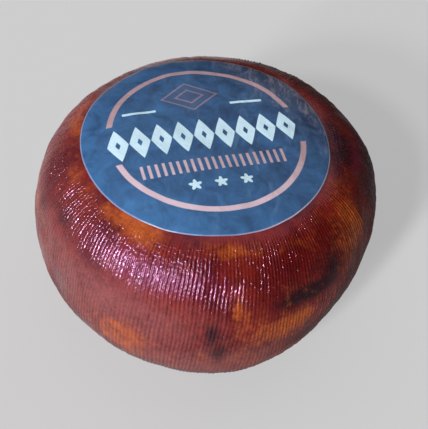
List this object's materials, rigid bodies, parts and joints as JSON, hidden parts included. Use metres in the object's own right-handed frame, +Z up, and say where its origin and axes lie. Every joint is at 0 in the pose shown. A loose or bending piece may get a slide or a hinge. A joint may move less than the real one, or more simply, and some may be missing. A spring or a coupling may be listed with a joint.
{
  "type": "ball of cheese",
  "caption": "Squat ball of whole cheese with a cloth-ribbed, lacquered red-brown rind and a round film label on its crown.",
  "frame": {"origin": "middle of the bounding box in plan, on the surface that the cheese stands on", "axes": "+Z up, -Y towards the front, +X to the right as seen from the front"},
  "size_m": [0.1682, 0.1726, 0.1012],
  "materials": {
    "rind": "red-brown lacquered cheese rind, amber where the coat is thin, with fine pressed cloth ribs that glint",
    "label_film": "slate-blue printed film with a salmon ring and plain geometric marks, satin to glossy, with a thin pale cut edge"
  },
  "bodies": {
    "root": {"cheese": "rind", "label": "label_film"}
  },
  "joints": []
}
